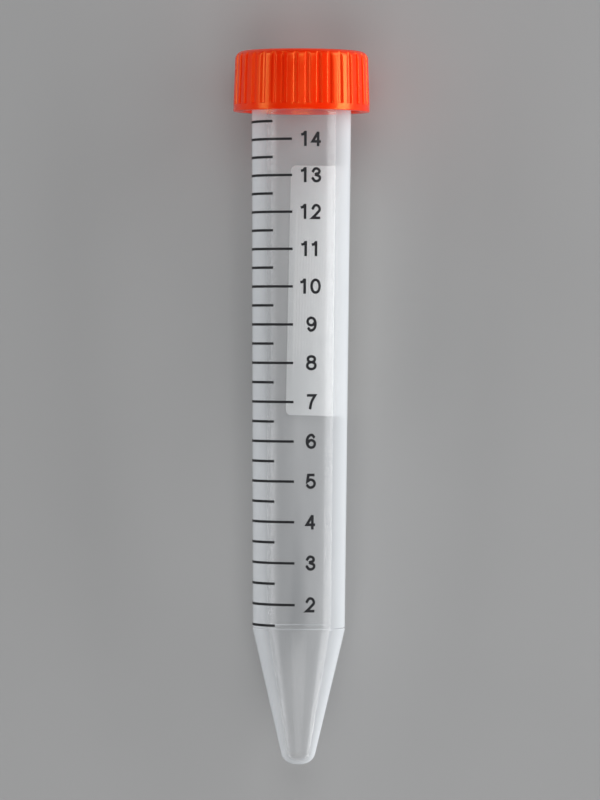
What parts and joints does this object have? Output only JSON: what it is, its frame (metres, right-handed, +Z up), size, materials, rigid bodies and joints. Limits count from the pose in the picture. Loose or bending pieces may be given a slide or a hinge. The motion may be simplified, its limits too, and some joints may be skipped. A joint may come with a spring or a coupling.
{
  "type": "15 ml conical centrifuge tube with screw cap",
  "caption": "Translucent graduated lab tube with a conical end, closed by a fluted orange screw cap that plugs its mouth, lying on its side.",
  "frame": {"origin": "on the surface that the tube lies on, under the middle of its overall box", "axes": "+Z up; +Y runs along the tube from its tip to its cap, level, with the tube's own axis 2.44 degrees nose-up to it because the cap is wider than the shoulder; +X to the right of the graduated front, which faces +Z"},
  "size_m": [0.023, 0.1206, 0.0231],
  "materials": {
    "tube_polypropylene": "natural polypropylene, hazy and translucent, smooth",
    "cap_polyethylene": "orange moulded polyethylene, semi-gloss",
    "graduation_ink": "black printed ink, matt",
    "writing_patch_ink": "white printed ink, matt, to write on"
  },
  "bodies": {
    "tube_body": {"tube": "tube_polypropylene"},
    "cap_body": {"screw_cap": "cap_polyethylene"}
  },
  "joints": [
    {"name": "cap_lift", "type": "slide", "parent": "tube_body", "child": "cap_body", "axis": [0, 0.9991, 0.0426], "range_m": [0, 0.025]}
  ]
}
